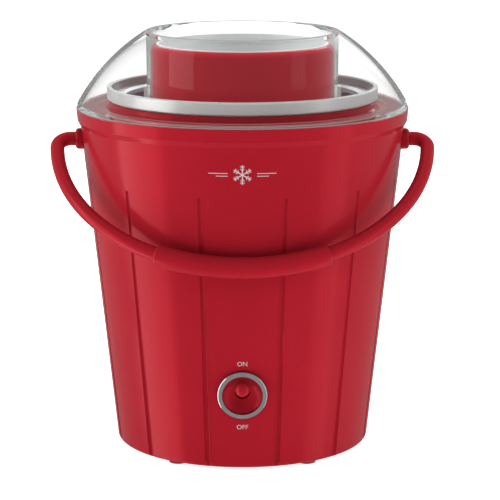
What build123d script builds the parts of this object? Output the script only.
"""Electric ice cream maker: a tapered barrel with a bail handle, a geared motor in its base,
a freezer bowl that turns, a paddle that the lid holds still, and a clear lid.

Millimetres, +Z up. The origin is on the barrel's axis, at the floor under the feet, and the
switch is at the front, towards -Y.
"""

from math import acos, asin, atan2, cos, degrees, hypot, pi, radians, sin, sqrt, tan

from build123d import *
import os

# ---- Driving dimensions ----
BARREL_BASE = 3.0  # underside of the barrel above the floor
CONE_FOOT_RADIUS = 86.26  # radius of the barrel's cone, carried down to the floor
CONE_GROWTH = 0.1075  # how much the cone's radius grows for each mm of height
WALL = 3.2
BAND_LOW = 221.5  # the thicker band round the barrel's top
BAND_FULL = 225.0
BARREL_TOP = 233.2
BAND_RADIUS = 112.9
STAVES = 12
GROOVE_TOP = 189.0

DECK_THICKNESS = 3.0
COLLAR_RADIUS = 91.0
COLLAR_TOP = 238.5
WELL_FLOOR = 86.0  # underside of the well's floor
WELL_WALL = 2.2

BAIL_RADIUS = 126.0
BAIL_DROP = 2.5  # centre of the bow below the pivots
BAIL_ROD = 4.8
BAIL_BEND = 9.0
BAIL_REST = 58.4  # degrees from hanging straight down
PIVOT_HEIGHT = 211.0
GRIP_RADIUS = 7.1
GRIP_HALF_ANGLE = 26.0

SWITCH_HEIGHT = 55.2
SWITCH_RING_RADIUS = 16.45
SWITCH_OPENING = 13.4
TOGGLE_BALL = 4.7
TOGGLE_OFFSET = 4.8

MOTOR_AXIS = (15.0, 37.0)
MOTOR_BORE = 14.4
GEAR_FACE = 5.5
PRESSURE_ANGLE = radians(25)
TOOTH_THINNING = 0.08  # taken off each tooth, for backlash

BOWL_TOP = 247.8
BOWL_RING_RADIUS = 92.0
BOWL_BASE = 92.0
BOWL_INSIDE_TOP = 79.0
BOWL_INSIDE_BASE = 77.0
BOWL_FLOOR = 109.0

LID_BASE = 233.5
LID_TOP = 285.0
LID_EDGE_RADIUS = 112.1
LID_SPOUT_RADIUS = 65.0
LID_WALL = 2.4
SPOUT_WALL = 2.3
SLEEVE_TOP = 276.7

FIT = 0.05  # radial play of a running fit
GAP = 0.4  # play between pieces that lift apart


def cone_radius(height):
    """Radius of the barrel's outside at a height."""
    return CONE_FOOT_RADIUS + CONE_GROWTH * height


def section(*outline):
    """Closed outline of (radius, height) points, in the plane through the axis."""
    with BuildSketch(Plane.XZ) as drawn:
        with BuildLine():
            Polyline(*outline, close=True)
        make_face()
    return drawn.sketch


def ring(inner, outer, low, high):
    """Rectangular section of a ring about the barrel's axis."""
    return section((inner, low), (outer, low), (outer, high), (inner, high))


def discs(centres, radius, height, bore=0):
    """Discs, or rings if they have a bore, about several centres at one height."""
    with BuildSketch(Plane.XY.offset(height)) as drawn:
        with Locations(*centres):
            Circle(radius)
            if bore:
                Circle(bore, mode=Mode.SUBTRACT)
    return drawn.sketch


def polar(radius, angles):
    """Points at one radius and several angles, in degrees from +X."""
    return [(radius * cos(radians(a)), radius * sin(radians(a))) for a in angles]


POSTS = polar(74.5, (20, 110, 200, 290))
FEET = polar(75.5, (-125, -55, 55, 125))

# ---- Barrel ----
with BuildPart() as outer_barrel:
    with BuildSketch(Plane.XZ) as barrel_section:
        with BuildLine():
            foot_round = 2.5
            foot_edge = cone_radius(BARREL_BASE)
            lip = 80.0
            lip_low = 6.6
            lip_high = 9.0
            Line((foot_edge - WALL, BARREL_BASE), (foot_edge - foot_round, BARREL_BASE))
            RadiusArc(
                (foot_edge - foot_round, BARREL_BASE),
                (cone_radius(BARREL_BASE + foot_round), BARREL_BASE + foot_round),
                -foot_round - 0.2,
            )
            Polyline(
                (cone_radius(BARREL_BASE + foot_round), BARREL_BASE + foot_round),
                (cone_radius(BAND_LOW), BAND_LOW),
                (BAND_RADIUS - 0.8, BAND_FULL),
                (BAND_RADIUS, BARREL_TOP),
                (BAND_RADIUS - WALL, BARREL_TOP),
                (BAND_RADIUS - WALL, BAND_FULL),
                (cone_radius(BAND_LOW) - WALL, BAND_LOW),
                (cone_radius(lip_high) - WALL, lip_high),
                (lip, lip_high),
                (lip, lip_low),
                (foot_edge - WALL, lip_low),
                (foot_edge - WALL, BARREL_BASE),
            )
        make_face()
    revolve(axis=Axis.Z)
    # Grooves between the staves: long cones whose axes lie just outside the surface.
    groove_start = -4.0
    groove_foot = 2.7
    groove_tip = 1.6
    groove_stand_off = 0.6
    for stave in range(STAVES):
        angle = radians((stave + 0.5) * 360 / STAVES)
        out = Vector(cos(angle), sin(angle), 0)
        start = out * (cone_radius(groove_start) + groove_stand_off) + Vector(0, 0, groove_start)
        up = (out * CONE_GROWTH + Vector(0, 0, 1)).normalized()
        with Locations(Plane(origin=start, z_dir=up)):
            Cone(
                groove_foot,
                groove_tip,
                GROOVE_TOP - groove_start,
                align=(Align.CENTER, Align.CENTER, Align.MIN),
                mode=Mode.SUBTRACT,
            )
    # Bores for the bail's ends, the switch and the cord's gland.
    boss_bore = 4.0
    with BuildSketch(Plane.YZ):
        with Locations((0, PIVOT_HEIGHT)):
            Circle(boss_bore)
    extrude(amount=BAND_RADIUS, both=True, mode=Mode.SUBTRACT)
    switch_face = Plane(
        origin=(0, -cone_radius(SWITCH_HEIGHT), SWITCH_HEIGHT),
        x_dir=(1, 0, 0),
        z_dir=(0, -1, -CONE_GROWTH),
    )
    with BuildSketch(switch_face):
        Circle(SWITCH_OPENING + 1.2)
    extrude(amount=8, both=True, mode=Mode.SUBTRACT)
    gland_height = 22.0
    gland_hole = 6.5
    gland_face = Plane(
        origin=(0, cone_radius(gland_height), gland_height),
        x_dir=(-1, 0, 0),
        z_dir=(0, 1, -CONE_GROWTH),
    )
    with BuildSketch(gland_face):
        Circle(gland_hole)
    extrude(amount=8, both=True, mode=Mode.SUBTRACT)

with BuildPart() as handle_bosses:
    boss_radius = 7.2
    boss_tip = 113.8
    boss_root = cone_radius(PIVOT_HEIGHT) - WALL - 1.2
    boss_planes = [
        Plane(origin=(side * boss_root, 0, PIVOT_HEIGHT), x_dir=(0, 1, 0), z_dir=(side, 0, 0))
        for side in (-1, 1)
    ]
    with BuildSketch(*boss_planes):
        Circle(boss_radius)
    extrude(amount=boss_tip - boss_root)
    # The bosses sit on the barrel's surface.
    seat_low = PIVOT_HEIGHT - boss_radius - 1
    seat_high = PIVOT_HEIGHT + boss_radius + 1
    revolve(
        section(
            (0, seat_low),
            (cone_radius(seat_low) + FIT, seat_low),
            (cone_radius(seat_high) + FIT, seat_high),
            (0, seat_high),
        ),
        axis=Axis.Z,
        mode=Mode.SUBTRACT,
    )
    with BuildSketch(*boss_planes):
        Circle(boss_bore - FIT)
    extrude(amount=boss_tip - boss_root)
    fillet(
        handle_bosses.edges()
        .filter_by(GeomType.CIRCLE)
        .filter_by(lambda e: abs(e.radius - boss_radius) < 0.01)
        .filter_by(lambda e: abs(abs(e.center().X) - boss_tip) < 0.01),
        2.2,
    )
    spigot = 2.5
    with BuildSketch(Plane.YZ):
        with Locations((0, PIVOT_HEIGHT)):
            Circle(spigot + FIT)
    extrude(amount=boss_tip + 1, both=True, mode=Mode.SUBTRACT)

# ---- Well and deck inside the barrel ----
with BuildPart() as inner_well:
    deck_low = BARREL_TOP - DECK_THICKNESS
    deck_edge = BAND_RADIUS - WALL - 0.1
    well_bore = COLLAR_RADIUS - WELL_WALL
    seal_bore = 12.5
    root_round = 1.4
    lip_round = 0.6
    revolve(
        section(
            (seal_bore, WELL_FLOOR),
            (COLLAR_RADIUS, WELL_FLOOR),
            (COLLAR_RADIUS, deck_low),
            (deck_edge, deck_low),
            (deck_edge, BARREL_TOP),
            (COLLAR_RADIUS + root_round, BARREL_TOP),
            (COLLAR_RADIUS, BARREL_TOP + root_round),
            (COLLAR_RADIUS, COLLAR_TOP - lip_round),
            (COLLAR_RADIUS - lip_round, COLLAR_TOP),
            (well_bore, COLLAR_TOP),
            (well_bore, WELL_FLOOR + WELL_WALL),
            (seal_bore, WELL_FLOOR + WELL_WALL),
        ),
        axis=Axis.Z,
    )
    post_low = 6.6
    post_radius = 5.0
    extrude(discs(POSTS, post_radius, post_low), amount=WELL_FLOOR - post_low)
    screw_radius = 1.7
    screw_length = 16.0
    extrude(discs(POSTS, screw_radius, post_low), amount=screw_length, mode=Mode.SUBTRACT)

# ---- Base ----
plate_low = 3.6
plate_thickness = 3.0
plate_top = plate_low + plate_thickness
plate_radius = 82.8
foot_hole = 3.0
vent_width = 2.2
vents_round = 8

with BuildPart() as base_plate:
    with BuildSketch(Plane.XY.offset(plate_low)):
        Circle(plate_radius)
        with Locations(*POSTS):
            Circle(screw_radius, mode=Mode.SUBTRACT)
        with Locations(*FEET):
            Circle(foot_hole, mode=Mode.SUBTRACT)
        for vent_circle in (9, 15, 21):
            with Locations(MOTOR_AXIS):
                with PolarLocations(vent_circle, vents_round):
                    SlotOverall(vent_circle * 0.42, vent_width, rotation=90, mode=Mode.SUBTRACT)
    extrude(amount=plate_thickness)

with BuildPart() as base_screws:
    head_radius = 3.4
    head_height = 1.8
    slot_length = 3.6
    slot_width = 0.8
    extrude(discs(POSTS, head_radius, plate_low - head_height), amount=head_height)
    extrude(discs(POSTS, screw_radius - FIT, plate_low), amount=screw_length - 1)
    with BuildSketch(Plane.XY.offset(plate_low - head_height)):
        with Locations(*POSTS):
            Rectangle(slot_length, slot_width)
            Rectangle(slot_width, slot_length)
    extrude(amount=head_height / 2, mode=Mode.SUBTRACT)

with BuildPart() as rubber_feet:
    foot_radius = 6.2
    foot_button = 3.9
    extrude(discs(FEET, foot_radius, 0), amount=plate_low)
    extrude(discs(FEET, foot_hole - 0.1, plate_low), amount=plate_thickness)
    extrude(discs(FEET, foot_button, plate_top), amount=1.4)
    fillet(rubber_feet.edges().group_by(Axis.Z)[0], 0.8)

# ---- Bail handle ----
rest_angle = radians(BAIL_REST)
bail_plane = Plane(
    origin=(0, 0, PIVOT_HEIGHT),
    x_dir=(1, 0, 0),
    z_dir=(0, cos(rest_angle), -sin(rest_angle)),
)
leg_end = boss_tip + 0.3
# The bend touches the pivot axis on one side and the bow on the other.
bend_rise = BAIL_BEND - BAIL_DROP
bend_centre = sqrt((BAIL_RADIUS - BAIL_BEND) ** 2 - bend_rise**2)
bend_share = BAIL_RADIUS / (BAIL_RADIUS - BAIL_BEND)
arc_start = (bend_centre * bend_share, BAIL_DROP + bend_rise * bend_share)
bend_turn = (atan2(bend_rise, bend_centre) - pi / 2) / 2
bend_middle = (
    bend_centre + BAIL_BEND * cos(bend_turn),
    BAIL_BEND + BAIL_BEND * sin(bend_turn),
)
bow_low = BAIL_RADIUS + BAIL_DROP

with BuildPart() as handle_bail:
    with BuildLine(bail_plane) as bail_path:
        Line((leg_end, 0), (bend_centre, 0))
        ThreePointArc((bend_centre, 0), bend_middle, arc_start)
        ThreePointArc(arc_start, (0, bow_low), (-arc_start[0], arc_start[1]))
        ThreePointArc(
            (-arc_start[0], arc_start[1]), (-bend_middle[0], bend_middle[1]), (-bend_centre, 0)
        )
        Line((-bend_centre, 0), (-leg_end, 0))
    with BuildSketch(Plane(origin=(leg_end, 0, PIVOT_HEIGHT), z_dir=(1, 0, 0))):
        Circle(BAIL_ROD)
    sweep(path=bail_path.wires()[0])
    spigot_end = boss_root - 3.0
    for side in (-1, 1):
        with BuildSketch(
            Plane(origin=(side * spigot_end, 0, PIVOT_HEIGHT), z_dir=(side, 0, 0))
        ):
            Circle(spigot)
        extrude(amount=leg_end - spigot_end)

with BuildPart() as handle_clips:
    clip_radius = 5.6
    clip_thickness = 0.9
    for side in (-1, 1):
        with BuildSketch(
            Plane(origin=(side * (boss_root - 0.3), 0, PIVOT_HEIGHT), z_dir=(-side, 0, 0))
        ):
            Circle(clip_radius)
            Circle(spigot, mode=Mode.SUBTRACT)
        extrude(amount=clip_thickness)

grip_turn = radians(GRIP_HALF_ANGLE)
with BuildPart() as handle_grip:
    grip_end = (BAIL_RADIUS * sin(grip_turn), BAIL_DROP + BAIL_RADIUS * cos(grip_turn))
    with BuildLine(bail_plane) as grip_path:
        ThreePointArc(grip_end, (0, bow_low), (-grip_end[0], grip_end[1]))
    with BuildSketch(Plane(grip_path.line ^ 0)):
        Circle(GRIP_RADIUS)
        Circle(BAIL_ROD + 0.02, mode=Mode.SUBTRACT)
    sweep(path=grip_path.line)
    fillet(
        handle_grip.edges()
        .filter_by(GeomType.CIRCLE)
        .filter_by(lambda e: abs(e.radius - GRIP_RADIUS) < 0.01),
        1.6,
    )

# ---- Switch ----
with BuildPart() as switch_ring:
    ring_depth = 3.0
    ring_seat = 1.2
    ring_height = 1.8
    with BuildSketch(switch_face.offset(-ring_depth)):
        Circle(SWITCH_OPENING + 1.1)
        Circle(SWITCH_OPENING, mode=Mode.SUBTRACT)
    extrude(amount=ring_depth + ring_seat + 1.0)
    with BuildSketch(switch_face.offset(ring_seat)):
        Circle(SWITCH_RING_RADIUS)
        Circle(SWITCH_OPENING, mode=Mode.SUBTRACT)
    extrude(amount=ring_height)
    fillet(
        switch_ring.edges()
        .filter_by(GeomType.CIRCLE)
        .filter_by(lambda e: abs(e.radius - SWITCH_RING_RADIUS) < 0.01)
        .sort_by(Axis.Y)[0],
        1.0,
    )

toggle_pivot_depth = 8.0
toggle_length = 13.5
pin_radius = 1.0
pin_length = 14.0
toggle_angle = degrees(asin(TOGGLE_OFFSET / toggle_length))
knuckle = 4.6  # ball round the toggle's pivot, which closes the hole in the cup
with BuildPart() as switch_cup:
    cup_depth = 5.0
    with BuildSketch(switch_face.offset(-cup_depth - 1.5)):
        Circle(SWITCH_OPENING - 0.1)
    extrude(amount=cup_depth + 2.3)
    dish = 17.5
    dish_plane = switch_face.offset(dish - cup_depth)
    with Locations(dish_plane):
        Sphere(dish, mode=Mode.SUBTRACT)
    with BuildSketch(switch_face.offset(-cup_depth - 2)):
        Circle(knuckle + 0.3)
    extrude(amount=6, mode=Mode.SUBTRACT)

with BuildPart() as switch_lever:
    lever_plane = Plane(
        switch_face.offset(-toggle_pivot_depth).location
        * Location((0, 0, 0), (-toggle_angle, 0, 0))
    )
    with Locations(lever_plane.offset(toggle_length)):
        Sphere(TOGGLE_BALL)
    with Locations(lever_plane):
        Cone(1.9, 1.7, toggle_length, align=(Align.CENTER, Align.CENTER, Align.MIN))
        Sphere(knuckle)
        Cylinder(pin_radius + FIT, pin_length, rotation=(0, 90, 0), mode=Mode.SUBTRACT)

with BuildPart() as switch_pivot_pin:
    with Locations(switch_face.offset(-toggle_pivot_depth)):
        Cylinder(pin_radius, pin_length, rotation=(0, 90, 0))

with BuildPart() as switch_body:
    body_top = cup_depth + 1.6
    body_depth = 20.0
    body_width = 15.0
    body_height = 21.0
    with BuildSketch(switch_face.offset(-body_top)):
        Rectangle(body_width, body_height)
    extrude(amount=-body_depth)
    with BuildSketch(switch_face.offset(-body_top)):
        Rectangle(knuckle * 2 + 0.8, 14.0)
    extrude(amount=-knuckle - 2.0, mode=Mode.SUBTRACT)
    with Locations(switch_face.offset(-toggle_pivot_depth)):
        Cylinder(pin_radius, pin_length, rotation=(0, 90, 0), mode=Mode.SUBTRACT)

with BuildPart() as switch_nut:
    with BuildSketch(switch_face.offset(-body_top)):
        RegularPolygon(SWITCH_OPENING + 4.0, 6)
        Circle(SWITCH_OPENING + 1.15, mode=Mode.SUBTRACT)
    extrude(amount=1.4)

with BuildPart() as switch_terminals:
    with BuildSketch(switch_face.offset(-body_top - body_depth)):
        with GridLocations(0, 10.0, 1, 3):
            Rectangle(0.8, 4.8)
    extrude(amount=-8.0)

# ---- Cord inlet ----
cord_bore = 3.4
gland_depth = 6.0
gland_flange = 8.6
gland_clip = 7.6
with BuildPart() as cord_gland:
    # Each step: how far out it starts, its radius and its thickness.
    for start, radius, thickness in (
        (-gland_depth, gland_hole - 0.1, gland_depth + 2.0),
        (1.0, gland_flange, 2.4),
        (-gland_depth, gland_clip, 1.6),
    ):
        with BuildSketch(gland_face.offset(start)):
            Circle(radius)
            Circle(cord_bore, mode=Mode.SUBTRACT)
        extrude(amount=thickness)
    fillet(
        cord_gland.edges()
        .filter_by(GeomType.CIRCLE)
        .filter_by(lambda e: abs(e.radius - gland_flange) < 0.01)
        .sort_by(Axis.Y)[-1],
        1.2,
    )

with BuildPart() as terminal_block:
    block_height = 12.0
    with Locations((40, -30, plate_top)):
        Box(26, 14, block_height, align=(Align.CENTER, Align.CENTER, Align.MIN))
    with BuildSketch(Plane.XY.offset(plate_top + block_height)):
        with Locations((40, -30)):
            with GridLocations(8, 0, 3, 1):
                Circle(2.4)
    extrude(amount=-7, mode=Mode.SUBTRACT)

# ---- Gears ----
FIRST_AXIS = (-7.8, 33.0)
SECOND_AXIS = (-32.48, 18.75)
OUTPUT_AXIS = (0.0, 0.0)
AXLE = 1.5


def between(a, b):
    """Distance and direction, in degrees, from one axis to another."""
    run_x = b[0] - a[0]
    run_y = b[1] - a[1]
    return hypot(run_x, run_y), degrees(atan2(run_y, run_x))


def gear_module(a, b, teeth_a, teeth_b):
    """Module that makes two gears mesh at the distance between their axes."""
    return 2 * between(a, b)[0] / (teeth_a + teeth_b)


def gear_face(axis, teeth, module, height, turn):
    """Involute spur gear's face, with a tooth centred at the turn angle from +X."""
    pitch = teeth * module / 2
    base = pitch * cos(PRESSURE_ANGLE)
    tip = pitch + 0.7 * module
    root = pitch - 0.95 * module
    half_tooth = (pi * module / 2 - TOOTH_THINNING) / (2 * pitch)
    roll = tan(PRESSURE_ANGLE) - PRESSURE_ANGLE
    flank = []
    flank_steps = 4
    start = max(base, root)
    for step in range(flank_steps + 1):
        radius = start + (tip - start) * step / flank_steps
        slope = acos(min(1.0, base / radius))
        flank.append((radius, half_tooth + roll - tan(slope) + slope))
    if root < base:
        flank.insert(0, (root, flank[0][1]))
    outline = []
    for tooth in range(teeth):
        middle = radians(turn) + 2 * pi * tooth / teeth
        low_side = [(radius, middle - spread) for radius, spread in flank]
        high_side = [(radius, middle + spread) for radius, spread in reversed(flank)]
        outline += [
            (axis[0] + radius * cos(angle), axis[1] + radius * sin(angle))
            for radius, angle in low_side + high_side
        ]
    with BuildSketch(Plane.XY.offset(height)) as drawn:
        with BuildLine():
            Polyline(*outline, close=True)
        make_face()
    return drawn.sketch


PINION_TEETH, FIRST_TEETH = 10, 48
FIRST_SMALL_TEETH, SECOND_TEETH = 12, 45
SECOND_SMALL_TEETH, OUTPUT_TEETH = 12, 48
pinion_level = 59.5
first_level = 67.5
output_level = 75.0
motor_module = gear_module(MOTOR_AXIS, FIRST_AXIS, PINION_TEETH, FIRST_TEETH)
first_module = gear_module(FIRST_AXIS, SECOND_AXIS, FIRST_SMALL_TEETH, SECOND_TEETH)
output_module = gear_module(SECOND_AXIS, OUTPUT_AXIS, SECOND_SMALL_TEETH, OUTPUT_TEETH)
motor_line = between(MOTOR_AXIS, FIRST_AXIS)[1]
first_line = between(FIRST_AXIS, SECOND_AXIS)[1]
second_line = between(SECOND_AXIS, OUTPUT_AXIS)[1]


def gap_facing(line, teeth):
    """Turn that puts a gap, not a tooth, on the line back to the driving gear."""
    return line + 180 + 180 / teeth


gear_bore = AXLE + FIT
web_holes = 6
with BuildPart() as first_gear:
    first_turn = gap_facing(motor_line, FIRST_TEETH)
    extrude(
        gear_face(FIRST_AXIS, FIRST_TEETH, motor_module, pinion_level, first_turn),
        amount=GEAR_FACE,
    )
    extrude(
        gear_face(
            FIRST_AXIS, FIRST_SMALL_TEETH, first_module, pinion_level + GEAR_FACE, first_line
        ),
        amount=first_level - pinion_level,
    )
    extrude(
        discs([FIRST_AXIS], gear_bore, pinion_level), amount=3 * GEAR_FACE, mode=Mode.SUBTRACT
    )
    with BuildSketch(Plane.XY.offset(pinion_level)):
        with Locations(FIRST_AXIS):
            with PolarLocations(11.5, web_holes):
                Circle(2.4)
    extrude(amount=GEAR_FACE, mode=Mode.SUBTRACT)

with BuildPart() as second_gear:
    second_turn = gap_facing(first_line, SECOND_TEETH)
    extrude(
        gear_face(SECOND_AXIS, SECOND_TEETH, first_module, first_level, second_turn),
        amount=GEAR_FACE,
    )
    extrude(
        gear_face(
            SECOND_AXIS, SECOND_SMALL_TEETH, output_module, first_level + GEAR_FACE, second_line
        ),
        amount=output_level - first_level + 0.5,
    )
    extrude(
        discs([SECOND_AXIS], gear_bore, first_level), amount=3 * GEAR_FACE, mode=Mode.SUBTRACT
    )
    with BuildSketch(Plane.XY.offset(first_level)):
        with Locations(SECOND_AXIS):
            with PolarLocations(14.5, web_holes):
                Circle(2.8)
    extrude(amount=GEAR_FACE, mode=Mode.SUBTRACT)

shaft_radius = 4.0
motor_shaft_radius = 2.5
with BuildPart() as output_gear:
    output_turn = gap_facing(second_line, OUTPUT_TEETH)
    hub_height = 3.0
    hub_low = output_level - hub_height
    extrude(
        gear_face(OUTPUT_AXIS, OUTPUT_TEETH, output_module, output_level, output_turn),
        amount=GEAR_FACE,
    )
    extrude(discs([OUTPUT_AXIS], 2 * shaft_radius, hub_low), amount=hub_height)
    extrude(
        discs([OUTPUT_AXIS], shaft_radius, hub_low),
        amount=hub_height + GEAR_FACE,
        mode=Mode.SUBTRACT,
    )
    with BuildSketch(Plane.XY.offset(output_level)):
        with PolarLocations(18.5, web_holes):
            Circle(5.0)
    extrude(amount=GEAR_FACE, mode=Mode.SUBTRACT)

# ---- Gearbox ----
case_low = 55.0
case_floor = 2.4
case_top = 83.0
case_wall = 2.0
gear_room = [
    (OUTPUT_AXIS, output_module * OUTPUT_TEETH / 2 + 3),
    (SECOND_AXIS, first_module * SECOND_TEETH / 2 + 3),
    (FIRST_AXIS, motor_module * FIRST_TEETH / 2 + 3),
    (MOTOR_AXIS, 9.0),
]
gear_clearance = 0.4
axle_low = case_low + 0.4
axle_boss = 3.6
case_boss = 3.4
case_screw = 1.2
screw_stand_off = 3.5
case_screws = [
    (
        gear_room[room][0][0] + (gear_room[room][1] + screw_stand_off) * cos(radians(angle)),
        gear_room[room][0][1] + (gear_room[room][1] + screw_stand_off) * sin(radians(angle)),
    )
    for room, angle in ((0, -40), (0, -115), (1, 165), (2, 95), (3, 20))
]


def case_outline(height, growth):
    """Hull of the gears' circles, grown all round."""
    with BuildSketch(Plane.XY.offset(height)) as drawn:
        for centre, radius in gear_room:
            with Locations(centre):
                Circle(radius + growth)
        make_hull()
    return drawn.sketch


with BuildPart() as gearbox_case:
    extrude(case_outline(case_low, case_wall), amount=case_top - case_low)
    extrude(discs(case_screws, case_boss, case_low), amount=case_top - case_low)
    extrude(
        case_outline(case_low + case_floor, 0), amount=case_top - case_low, mode=Mode.SUBTRACT
    )
    extrude(discs(case_screws, case_screw, case_low + 8), amount=case_top, mode=Mode.SUBTRACT)
    extrude(discs([FIRST_AXIS], axle_boss, case_low), amount=case_floor + 1.0)
    extrude(
        discs([SECOND_AXIS], axle_boss, case_low), amount=first_level - gear_clearance - case_low
    )
    extrude(
        discs([FIRST_AXIS, SECOND_AXIS], AXLE, axle_low), amount=case_top, mode=Mode.SUBTRACT
    )
    extrude(discs([OUTPUT_AXIS], 7.5, case_low), amount=hub_low - gear_clearance - case_low)
    extrude(
        discs([OUTPUT_AXIS], shaft_radius + FIT, case_low + 2), amount=case_top, mode=Mode.SUBTRACT
    )
    extrude(
        discs([MOTOR_AXIS], 2 * motor_shaft_radius, case_low), amount=case_floor, mode=Mode.SUBTRACT
    )

cover_thickness = 2.4
cover_top = case_top + cover_thickness
case_head = 2.4
case_head_height = 1.2
bush_radius = 8.0
axle_top = case_top + 1.5
with BuildPart() as gearbox_cover:
    head_seat = cover_top - case_head_height
    extrude(case_outline(case_top, case_wall), amount=cover_thickness)
    extrude(discs(case_screws, case_boss, case_top), amount=cover_thickness)
    extrude(
        discs(case_screws, case_screw + 0.3, case_top), amount=cover_thickness, mode=Mode.SUBTRACT
    )
    extrude(
        discs(case_screws, case_head + 0.2, head_seat), amount=case_head_height, mode=Mode.SUBTRACT
    )
    extrude(
        discs([FIRST_AXIS, SECOND_AXIS], AXLE, case_top),
        amount=axle_top - case_top,
        mode=Mode.SUBTRACT,
    )
    extrude(discs([OUTPUT_AXIS], bush_radius, case_top), amount=cover_thickness, mode=Mode.SUBTRACT)

with BuildPart() as gearbox_screws:
    screw_grip = 9.0
    extrude(
        discs(case_screws, case_screw - FIT, case_top - screw_grip),
        amount=screw_grip + cover_thickness,
    )
    extrude(discs(case_screws, case_head, head_seat), amount=case_head_height)

with BuildPart() as gear_axles:
    extrude(discs([FIRST_AXIS, SECOND_AXIS], AXLE, axle_low), amount=axle_top - axle_low)

coupling_low = 90.2
coupling_top = 97.0
with BuildPart() as output_shaft:
    shaft_low = case_low + 2.2
    groove_depth = 0.6
    extrude(discs([OUTPUT_AXIS], shaft_radius, shaft_low), amount=coupling_top + 1 - shaft_low)
    extrude(
        discs([OUTPUT_AXIS], shaft_radius, coupling_top - 0.6, bore=shaft_radius - groove_depth),
        amount=0.9,
        mode=Mode.SUBTRACT,
    )

with BuildPart() as output_bush:
    shaft_fit = shaft_radius + FIT
    bush_low = output_level + GEAR_FACE + 0.5
    extrude(
        discs([OUTPUT_AXIS], bush_radius - 0.1, case_top, bore=shaft_fit), amount=cover_thickness
    )
    extrude(
        discs([OUTPUT_AXIS], bush_radius + 1, bush_low, bore=shaft_fit), amount=case_top - bush_low
    )

with BuildPart() as shaft_seal:
    seal_top = WELL_FLOOR + WELL_WALL + 1.2
    revolve(
        section(
            (seal_bore - 0.1, WELL_FLOOR),
            (seal_bore - 0.1, seal_top),
            (shaft_fit, seal_top),
            (shaft_fit, seal_top - 0.8),
            (2 * shaft_radius, WELL_FLOOR + 1.4),
            (shaft_fit, WELL_FLOOR + 0.8),
            (shaft_fit, WELL_FLOOR),
        ),
        axis=Axis.Z,
    )


def cross(height, span, width):
    """Cross-shaped section of the drive."""
    with BuildSketch(Plane.XY.offset(height)) as drawn:
        Rectangle(span, width)
        Rectangle(width, span)
    return drawn.sketch


with BuildPart() as drive_coupling:
    extrude(cross(coupling_low, 30, 10), amount=coupling_top - coupling_low - 0.8)
    chamfer(drive_coupling.faces().sort_by(Axis.Z)[-1].edges(), 0.8)
    extrude(discs([OUTPUT_AXIS], 7.5, coupling_low), amount=coupling_top - coupling_low - 0.8)
    extrude(
        discs([OUTPUT_AXIS], shaft_radius, coupling_low), amount=10, mode=Mode.SUBTRACT
    )

with BuildPart() as coupling_clip:
    with BuildSketch(Plane.XY.offset(coupling_top - 0.55)):
        Circle(6.2)
        Circle(shaft_radius - 0.55, mode=Mode.SUBTRACT)
        with Locations((5.5, 0)):
            Rectangle(5.0, 4.0, mode=Mode.SUBTRACT)
    extrude(amount=0.8)

# ---- Motor ----
MX, MY = MOTOR_AXIS
stack_low = 27.0
stack_height = 18.0
stack_top = stack_low + stack_height
stack_half = 22.0
window_centre = (MX - 28, MY)
tie_screws = [(MX, MY - 18.6), (MX, MY + 18.6)]
shading_x = MX + 10

with BuildPart() as motor_stator:
    with BuildSketch(Plane.XY.offset(stack_low)):
        with Locations((MX - 14, MY)):
            RectangleRounded(70, 2 * stack_half, 3)
        with Locations(MOTOR_AXIS):
            Circle(MOTOR_BORE, mode=Mode.SUBTRACT)
        with Locations(window_centre):
            Rectangle(20, 24, mode=Mode.SUBTRACT)
        with Locations(*tie_screws):
            Circle(1.7, mode=Mode.SUBTRACT)
        with Locations((shading_x, MY - 15.4), (shading_x, MY + 15.4)):
            Rectangle(2.2, 2.2, mode=Mode.SUBTRACT)
    extrude(amount=stack_height)

leg_centre = (MX - 43.5, MY)
coil_half = 11.2
flange = 1.2


def coil_section(y, width, depth):
    """Rectangle round the stator's coil leg, standing across it."""
    with BuildSketch(Plane.XZ.offset(-y)) as drawn:
        with Locations((leg_centre[0], stack_low + stack_height / 2)):
            Rectangle(width, depth)
    return drawn.sketch


with BuildPart() as coil_bobbin:
    extrude(coil_section(MY - coil_half, 25.4, 32), amount=-flange)
    extrude(coil_section(MY + coil_half - flange, 25.4, 32), amount=-flange)
    extrude(coil_section(MY - coil_half, 13.4, 20.4), amount=-2 * coil_half)
    extrude(coil_section(MY - coil_half, 11.2, 18.2), amount=-2 * coil_half, mode=Mode.SUBTRACT)

with BuildPart() as motor_coil:
    winding = coil_half - flange - 0.05
    extrude(coil_section(MY - winding, 24.6, 31.2), amount=-2 * winding)
    fillet(motor_coil.edges().filter_by(Axis.Y), 3.0)
    extrude(coil_section(MY - winding, 13.5, 20.5), amount=-2 * winding, mode=Mode.SUBTRACT)

with BuildPart() as shading_rings:
    for side in (-1, 1):
        loop_plane = Plane(
            origin=(shading_x - 0.9, MY + side * 19.1, stack_low + stack_height / 2),
            x_dir=(0, 1, 0),
            z_dir=(1, 0, 0),
        )
        with BuildSketch(loop_plane):
            Rectangle(9.2, stack_height + 3.8)
            Rectangle(6.0, stack_height + 0.4, mode=Mode.SUBTRACT)
        extrude(amount=1.8)

rotor_radius = MOTOR_BORE - 0.4
with BuildPart() as motor_rotor:
    extrude(
        discs([MOTOR_AXIS], rotor_radius, stack_low, bore=motor_shaft_radius),
        amount=stack_height,
    )
    with BuildSketch(Plane.XY.offset(stack_low)):
        with Locations(MOTOR_AXIS):
            with PolarLocations(rotor_radius, 16):
                Circle(0.9)
    extrude(amount=stack_height, mode=Mode.SUBTRACT)

with BuildPart() as rotor_end_rings:
    for low in (stack_low - 1.6, stack_top):
        extrude(discs([MOTOR_AXIS], rotor_radius - 1.4, low, bore=8.6), amount=1.6)

with BuildPart() as motor_shaft:
    extrude(discs([MOTOR_AXIS], motor_shaft_radius, 11.0), amount=pinion_level + GEAR_FACE - 10.5)
    chamfer(motor_shaft.edges().filter_by(GeomType.CIRCLE), 0.4)

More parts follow.
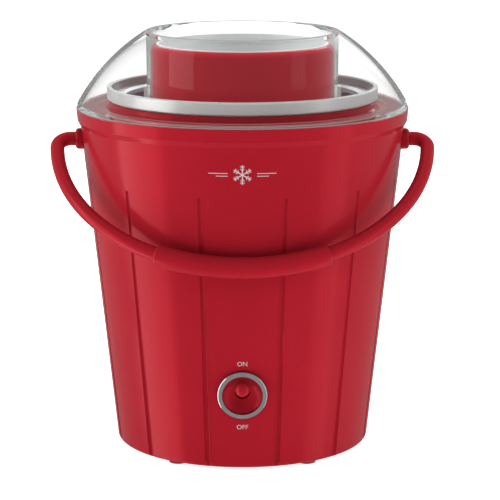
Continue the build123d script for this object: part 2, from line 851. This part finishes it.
with BuildPart() as motor_pinion:
    extrude(
        gear_face(MOTOR_AXIS, PINION_TEETH, motor_module, pinion_level, motor_line),
        amount=GEAR_FACE,
    )
    extrude(
        discs([MOTOR_AXIS], motor_shaft_radius, pinion_level), amount=GEAR_FACE, mode=Mode.SUBTRACT
    )

fan_low = 11.6
with BuildPart() as motor_fan:
    extrude(discs([MOTOR_AXIS], 5.0, fan_low), amount=7.0)
    extrude(discs([MOTOR_AXIS], 21.0, fan_low), amount=1.0)
    with BuildSketch(Plane.XY.offset(fan_low)):
        with Locations(MOTOR_AXIS):
            with PolarLocations(12.6, 9):
                Rectangle(16.0, 1.2)
    extrude(amount=6.4)
    extrude(
        discs([MOTOR_AXIS], motor_shaft_radius, fan_low), amount=7.0, mode=Mode.SUBTRACT
    )

bracket = 1.6
bridge_gap = 5.0
with BuildPart() as motor_bracket_upper:
    bridge_low = stack_top + bridge_gap
    with BuildSketch(Plane.XY.offset(bridge_low)):
        with Locations(MOTOR_AXIS):
            SlotOverall(46, 12, rotation=90)
    extrude(amount=bracket)
    extrude(discs(tie_screws, 3.2, stack_top), amount=bridge_gap)
    extrude(discs(tie_screws, 1.7, stack_top), amount=10, mode=Mode.SUBTRACT)
    extrude(discs([MOTOR_AXIS], 4.5, bridge_low), amount=bracket, mode=Mode.SUBTRACT)

with BuildPart() as motor_bracket_lower:
    bridge_top = stack_low - bridge_gap
    with BuildSketch(Plane.XY.offset(bridge_top)):
        with Locations(MOTOR_AXIS):
            SlotOverall(46, 12, rotation=90)
    extrude(amount=-bracket)
    extrude(discs(tie_screws, 3.2, bridge_top), amount=bridge_gap)
    extrude(discs(tie_screws, 1.7, bridge_top - 3), amount=10, mode=Mode.SUBTRACT)
    extrude(discs([MOTOR_AXIS], 4.5, bridge_top), amount=-bracket, mode=Mode.SUBTRACT)

with BuildPart() as motor_bushes:
    for low in (bridge_low, bridge_top - bracket):
        extrude(
            discs([MOTOR_AXIS], 4.5, low, bore=motor_shaft_radius + FIT), amount=bracket
        )

with BuildPart() as motor_screws:
    tie_head = bridge_top - bracket
    extrude(discs(tie_screws, 1.6, tie_head), amount=case_low - tie_head)
    extrude(discs(tie_screws, 2.8, tie_head - 1.6), amount=1.6)

with BuildPart() as motor_spacers:
    extrude(
        discs(tie_screws, 3.0, bridge_low + bracket, bore=1.7),
        amount=case_low - bridge_low - bracket,
    )

# ---- Freezer bowl ----
outer_top = 86.4
outer_base = 84.6
shell = 2.4
metal = 1.2
socket_top = BOWL_BASE + 9.0
ring_low = COLLAR_TOP + GAP

with BuildPart() as bowl_outer_wall:
    revolve(
        section(
            (18.0, BOWL_BASE),
            (outer_base - 3, BOWL_BASE),
            (outer_base, BOWL_BASE + 3),
            (outer_top, ring_low),
            (outer_top - shell, ring_low),
            (outer_base - shell, BOWL_BASE + 4),
            (outer_base - 4, BOWL_BASE + shell),
            (20.0, BOWL_BASE + shell),
            (20.0, socket_top + shell),
            (0, socket_top + shell),
            (0, socket_top),
            (18.0, socket_top),
        ),
        axis=Axis.Z,
    )

with BuildPart() as bowl_drive_socket:
    extrude(discs([OUTPUT_AXIS], 17.9, BOWL_BASE + 0.6), amount=socket_top - BOWL_BASE - 0.6)
    extrude(cross(BOWL_BASE, 31.2, 11.2), amount=socket_top - BOWL_BASE, mode=Mode.SUBTRACT)
    extrude(discs([OUTPUT_AXIS], 8.4, BOWL_BASE), amount=10, mode=Mode.SUBTRACT)

with BuildPart() as bowl_inner_wall:
    rim_level = 242.2
    rim_edge = 88.4
    revolve(
        section(
            (0, BOWL_FLOOR - metal),
            (BOWL_INSIDE_BASE - 5, BOWL_FLOOR - metal),
            (BOWL_INSIDE_BASE - 1, BOWL_FLOOR + 0.6),
            (BOWL_INSIDE_BASE + metal, BOWL_FLOOR + 5),
            (BOWL_INSIDE_TOP + metal, rim_level - 5),
            (BOWL_INSIDE_TOP + metal + 3, rim_level - metal),
            (rim_edge, rim_level - metal),
            (rim_edge, rim_level),
            (BOWL_INSIDE_TOP + 3, rim_level),
            (BOWL_INSIDE_TOP + 0.8, rim_level - 1.4),
            (BOWL_INSIDE_TOP, rim_level - 4),
            (BOWL_INSIDE_BASE, BOWL_FLOOR + 5),
            (BOWL_INSIDE_BASE - 1.6, BOWL_FLOOR + 2),
            (BOWL_INSIDE_BASE - 5, BOWL_FLOOR),
            (0, BOWL_FLOOR),
        ),
        axis=Axis.Z,
    )

with BuildPart() as bowl_rim_ring:
    revolve(
        section(
            (outer_top + 0.1, ring_low),
            (BOWL_RING_RADIUS - 1.0, ring_low),
            (BOWL_RING_RADIUS, ring_low + 1.0),
            (BOWL_RING_RADIUS, BOWL_TOP),
            (rim_edge + 0.1, BOWL_TOP),
            (rim_edge + 0.1, rim_level - metal - FIT),
            (outer_top + 0.1, rim_level - metal - FIT),
        ),
        axis=Axis.Z,
    )
    fillet(
        bowl_rim_ring.edges()
        .filter_by(GeomType.CIRCLE)
        .filter_by(lambda e: abs(e.center().Z - BOWL_TOP) < 0.01),
        1.2,
    )

with BuildPart() as bowl_seal:
    revolve(
        ring(BOWL_INSIDE_TOP + metal + 4.2, outer_top - 0.1, ring_low + 0.1, rim_level - metal - 0.1),
        axis=Axis.Z,
    )

with BuildPart() as bowl_coolant:
    revolve(
        section(
            (0, socket_top + shell + 0.3),
            (20.6, socket_top + shell + 0.3),
            (20.6, BOWL_BASE + shell + 0.3),
            (outer_base - 4.4, BOWL_BASE + shell + 0.3),
            (outer_base - shell - 0.4, BOWL_BASE + 5),
            (outer_top - shell - 0.6, rim_level - 12),
            (BOWL_INSIDE_TOP + metal + 0.6, rim_level - 12),
            (BOWL_INSIDE_BASE + metal + 0.8, BOWL_FLOOR + 4),
            (BOWL_INSIDE_BASE - 1, BOWL_FLOOR - 1.5),
            (BOWL_INSIDE_BASE - 5, BOWL_FLOOR - metal - 0.6),
            (0, BOWL_FLOOR - metal - 0.6),
        ),
        axis=Axis.Z,
    )

# ---- Paddle ----
spout_bore = LID_SPOUT_RADIUS - SPOUT_WALL
sleeve_radius = spout_bore - GAP
sleeve_wall = 4.0
liner_radius = sleeve_radius - sleeve_wall - FIT
liner_bore = liner_radius - 1.6
sleeve_low = 232.0
frame_low = 226.0

with BuildPart() as paddle_sleeve:
    with BuildSketch(Plane.XZ) as sleeve_section:
        with BuildLine():
            sleeve_bore = sleeve_radius - sleeve_wall
            crown = (sleeve_bore, SLEEVE_TOP - 0.4)
            shoulder = (sleeve_radius, crown[1] - sleeve_wall)
            Polyline(
                crown, (sleeve_bore, sleeve_low), (sleeve_radius, sleeve_low), shoulder
            )
            RadiusArc(shoulder, crown, -sleeve_wall)
        make_face()
    revolve(axis=Axis.Z)

scraper_outer = BOWL_INSIDE_BASE - 2.2
scraper_inner = scraper_outer - 9.0
bar_low = BOWL_FLOOR + 2.0
blade_turn = 26.0
with BuildPart() as paddle_frame:
    revolve(ring(liner_bore, liner_radius, frame_low, SLEEVE_TOP), axis=Axis.Z)
    revolve(ring(liner_bore, sleeve_radius, frame_low, sleeve_low - 0.1), axis=Axis.Z)
    # Two arms reach out under the spout and run down beside the bowl's wall.
    with BuildSketch(Plane.XY.offset(frame_low)):
        with Locations(*polar((liner_radius + scraper_outer) / 2, (0, 180))):
            Rectangle(scraper_outer - liner_radius + 2.0, 9.0)
    extrude(amount=5.0)
    with BuildSketch(Plane.XY.offset(bar_low)):
        with Locations(*polar((scraper_inner + scraper_outer) / 2, (0, 180))):
            Rectangle(scraper_outer - scraper_inner, 5.0)
    extrude(amount=frame_low + 5.0 - bar_low)
    with BuildSketch(Plane.XY.offset(bar_low)):
        Rectangle(2 * scraper_outer, 9.0)
        Circle(11.0)
    extrude(amount=4.0)
    # Leaning blades join the bottom bar to the arms.
    for side in (-1, 1):
        blade_plane = Plane(
            origin=(side * 44.0, 0, bar_low + 2.0),
            x_dir=(1, 0, 0),
            z_dir=(0, side * sin(radians(blade_turn)), cos(radians(blade_turn))),
        )
        with BuildSketch(blade_plane):
            Rectangle(46.0, 3.0)
        extrude(amount=34.0)
    # Lugs that sit in the notches of the lid's spout.
    with BuildSketch(Plane.XY.offset(frame_low + 3.0)):
        with Locations(*polar(LID_SPOUT_RADIUS - 0.2, (0, 180))):
            Rectangle(4.2, 7.0)
    extrude(amount=18.0)

# ---- Lid ----
dome_sag = 4.3
flange_top = 236.4
flange_thickness = 2.0
flange_bore = COLLAR_RADIUS + 7.0
spout_low = 240.0
spout_seat = LID_SPOUT_RADIUS + FIT
dome_top = LID_SPOUT_RADIUS + 0.5
with BuildPart() as lid:
    with BuildSketch(Plane.XZ) as lid_section:
        with BuildLine():
            rise = LID_TOP - flange_top
            reach = LID_EDGE_RADIUS - dome_top
            slope = hypot(rise, reach)
            normal = (rise / slope, reach / slope)
            dome_middle = (
                LID_EDGE_RADIUS - reach / 2 + dome_sag * normal[0],
                flange_top + rise / 2 + dome_sag * normal[1],
            )
            inner_middle = (
                dome_middle[0] - LID_WALL * normal[0],
                dome_middle[1] - LID_WALL * normal[1],
            )
            inner_start = (LID_EDGE_RADIUS - LID_WALL - 1.0, LID_BASE + flange_thickness)
            inner_end = (spout_seat, LID_TOP - LID_WALL - 1.0)
            Polyline(
                (LID_EDGE_RADIUS, flange_top),
                (LID_EDGE_RADIUS, LID_BASE),
                (flange_bore, LID_BASE),
                (flange_bore, LID_BASE + flange_thickness),
                inner_start,
            )
            ThreePointArc(inner_start, inner_middle, inner_end)
            Polyline(inner_end, (spout_seat, LID_TOP), (dome_top, LID_TOP))
            ThreePointArc((dome_top, LID_TOP), dome_middle, (LID_EDGE_RADIUS, flange_top))
        make_face()
    revolve(axis=Axis.Z)

with BuildPart() as lid_spout:
    notch_width = 8.0
    revolve(
        section(
            (LID_SPOUT_RADIUS, LID_TOP),
            (LID_SPOUT_RADIUS, spout_low),
            (spout_bore, spout_low),
            (spout_bore, LID_TOP - 1.0),
            (spout_bore + 1.0, LID_TOP),
        ),
        axis=Axis.Z,
    )
    # Notches that hold the paddle's lugs still.
    with BuildSketch(Plane.XY.offset(spout_low)):
        with Locations(*polar(LID_SPOUT_RADIUS - 1.0, (0, 180))):
            Rectangle(3 * SPOUT_WALL, notch_width)
    extrude(amount=notch_width, mode=Mode.SUBTRACT)

# ---- Files ----
pieces = {
    "outer_barrel": outer_barrel,
    "handle_bosses": handle_bosses,
    "inner_well": inner_well,
    "base_plate": base_plate,
    "base_screws": base_screws,
    "rubber_feet": rubber_feet,
    "handle_bail": handle_bail,
    "handle_clips": handle_clips,
    "handle_grip": handle_grip,
    "switch_ring": switch_ring,
    "switch_cup": switch_cup,
    "switch_lever": switch_lever,
    "switch_pivot_pin": switch_pivot_pin,
    "switch_body": switch_body,
    "switch_nut": switch_nut,
    "switch_terminals": switch_terminals,
    "cord_gland": cord_gland,
    "terminal_block": terminal_block,
    "first_gear": first_gear,
    "second_gear": second_gear,
    "output_gear": output_gear,
    "gear_axles": gear_axles,
    "gearbox_case": gearbox_case,
    "gearbox_cover": gearbox_cover,
    "gearbox_screws": gearbox_screws,
    "output_shaft": output_shaft,
    "output_bush": output_bush,
    "shaft_seal": shaft_seal,
    "drive_coupling": drive_coupling,
    "coupling_clip": coupling_clip,
    "motor_stator": motor_stator,
    "coil_bobbin": coil_bobbin,
    "motor_coil": motor_coil,
    "shading_rings": shading_rings,
    "motor_rotor": motor_rotor,
    "rotor_end_rings": rotor_end_rings,
    "motor_shaft": motor_shaft,
    "motor_pinion": motor_pinion,
    "motor_fan": motor_fan,
    "motor_bracket_upper": motor_bracket_upper,
    "motor_bracket_lower": motor_bracket_lower,
    "motor_bushes": motor_bushes,
    "motor_screws": motor_screws,
    "motor_spacers": motor_spacers,
    "bowl_outer_wall": bowl_outer_wall,
    "bowl_drive_socket": bowl_drive_socket,
    "bowl_inner_wall": bowl_inner_wall,
    "bowl_rim_ring": bowl_rim_ring,
    "bowl_seal": bowl_seal,
    "bowl_coolant": bowl_coolant,
    "paddle_sleeve": paddle_sleeve,
    "paddle_frame": paddle_frame,
    "lid": lid,
    "lid_spout": lid_spout,
}
os.makedirs("parts", exist_ok=True)
for name, piece in pieces.items():
    piece.part.label = name
    export_step(piece.part, f"parts/{name}.step")
